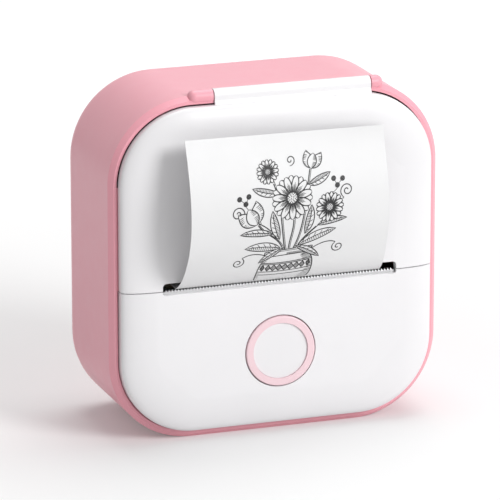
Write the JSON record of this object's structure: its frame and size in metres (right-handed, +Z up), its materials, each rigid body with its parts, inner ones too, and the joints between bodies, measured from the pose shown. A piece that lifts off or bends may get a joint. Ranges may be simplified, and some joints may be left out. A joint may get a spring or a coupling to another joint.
{
  "type": "pocket printer",
  "caption": "Pocket thermal printer with a hinged paper cover, a paper roll and gear-driven platen inside, a toothed tear slot and a round front button.",
  "frame": {"origin": "middle of the flat bottom, half way through the depth of the shell", "axes": "+X to the right seen from the front, +Y to the back, +Z up"},
  "size_m": [0.085, 0.0513, 0.0874],
  "materials": {
    "pink_shell": "satin moulded pink plastic",
    "white_shell": "satin moulded white plastic",
    "pink_inner": "plain moulded pink plastic",
    "button_pink": "satin moulded pink plastic",
    "button_white": "satin moulded white plastic",
    "steel": "bright steel",
    "plate_steel": "zinc-plated sheet steel",
    "aluminium": "extruded aluminium",
    "ceramic": "glazed ceramic substrate",
    "rubber": "black ground rubber",
    "gear_plastic": "natural acetal",
    "bushing_plastic": "black acetal",
    "board_green": "green solder mask",
    "chip_black": "black epoxy",
    "plug_cream": "cream nylon",
    "switch_black": "black nylon",
    "switch_stem": "cream nylon",
    "battery_foil": "laminated foil pouch",
    "foam": "foam tape",
    "wire_red": "soft wire insulation",
    "wire_black": "soft wire insulation",
    "ribbon": "amber film cable",
    "paper": "smooth coated thermal paper",
    "core": "white plastic tube"
  },
  "bodies": {
    "base": {"housing": "pink_shell", "lower_panel": "white_shell", "inner_frame": "pink_inner", "tear_bar": "steel", "hinge_pin": "steel", "gear_plate": "plate_steel", "gear_axles": "steel", "motor": "plate_steel", "main_board": "board_green", "board_chips": "chip_black", "board_plugs": "plug_cream", "usb_port": "steel", "switch_body": "switch_black", "battery": "battery_foil", "battery_pad": "foam", "battery_leads": "wire_red", "motor_leads": "wire_black", "head_ribbon": "ribbon", "paper_sensor": "switch_black", "frame_screws": "steel", "board_screws": "steel", "plate_screws": "steel", "motor_screws": "steel", "paper_web": "paper", "head_springs": "steel"},
    "print_head": {"head_heatsink": "aluminium", "head_ceramic": "ceramic"},
    "cover": {"paper_cover": "white_shell", "cover_liner": "pink_inner", "liner_screws": "steel", "platen_bushings": "bushing_plastic", "paper_tongue": "paper"},
    "platen": {"platen_shaft": "steel", "platen_rubber": "rubber", "platen_gear": "gear_plastic"},
    "idler": {"idler_gear": "gear_plastic"},
    "reduction": {"reduction_gear": "gear_plastic"},
    "pinion": {"motor_shaft": "steel", "motor_pinion": "gear_plastic"},
    "roll": {"paper_roll": "paper", "roll_core": "core"},
    "button": {"button_ring": "button_pink", "button_face": "button_white", "switch_stem": "switch_stem"}
  },
  "joints": [
    {"name": "cover_hinge", "type": "hinge", "parent": "base", "child": "cover", "pos_m": [0, -0.0146, 0.0856], "axis": [-1, 0, 0], "range_deg": [0, 95]},
    {"name": "platen_spin", "type": "hinge", "parent": "cover", "child": "platen", "pos_m": [0, -0.0128, 0.0442], "axis": [1, 0, 0], "continuous": true},
    {"name": "idler_spin", "type": "hinge", "parent": "base", "child": "idler", "pos_m": [0, -0.00303, 0.04064], "axis": [1, 0, 0], "continuous": true},
    {"name": "reduction_spin", "type": "hinge", "parent": "base", "child": "reduction", "pos_m": [0, -0.00075, 0.03214], "axis": [1, 0, 0], "continuous": true},
    {"name": "pinion_spin", "type": "hinge", "parent": "base", "child": "pinion", "pos_m": [0, 0.00445, 0.02314], "axis": [1, 0, 0], "continuous": true},
    {"name": "roll_spin", "type": "hinge", "parent": "base", "child": "roll", "pos_m": [0, 0.0008, 0.06459], "axis": [1, 0, 0], "continuous": true},
    {"name": "head_rock", "type": "hinge", "parent": "base", "child": "print_head", "pos_m": [0, -0.00151, 0.04346], "axis": [1, 0, 0], "range_deg": [0, 1.5], "stiffness_Nm_per_rad": 0.16, "springref_deg": -11.46, "deforming": ["head_springs"]},
    {"name": "button_press", "type": "slide", "parent": "base", "child": "button", "axis": [0, 1, 0], "range_m": [0, 0.0005], "stiffness_N_per_m": 2000, "springref_m": -0.0003}
  ],
  "couplings": [
    {"joint": "platen_spin", "follows": "roll_spin", "ratio": 3.0435},
    {"joint": "idler_spin", "follows": "roll_spin", "ratio": -2.2319},
    {"joint": "reduction_spin", "follows": "roll_spin", "ratio": 4.7826},
    {"joint": "pinion_spin", "follows": "roll_spin", "ratio": -15.942}
  ]
}
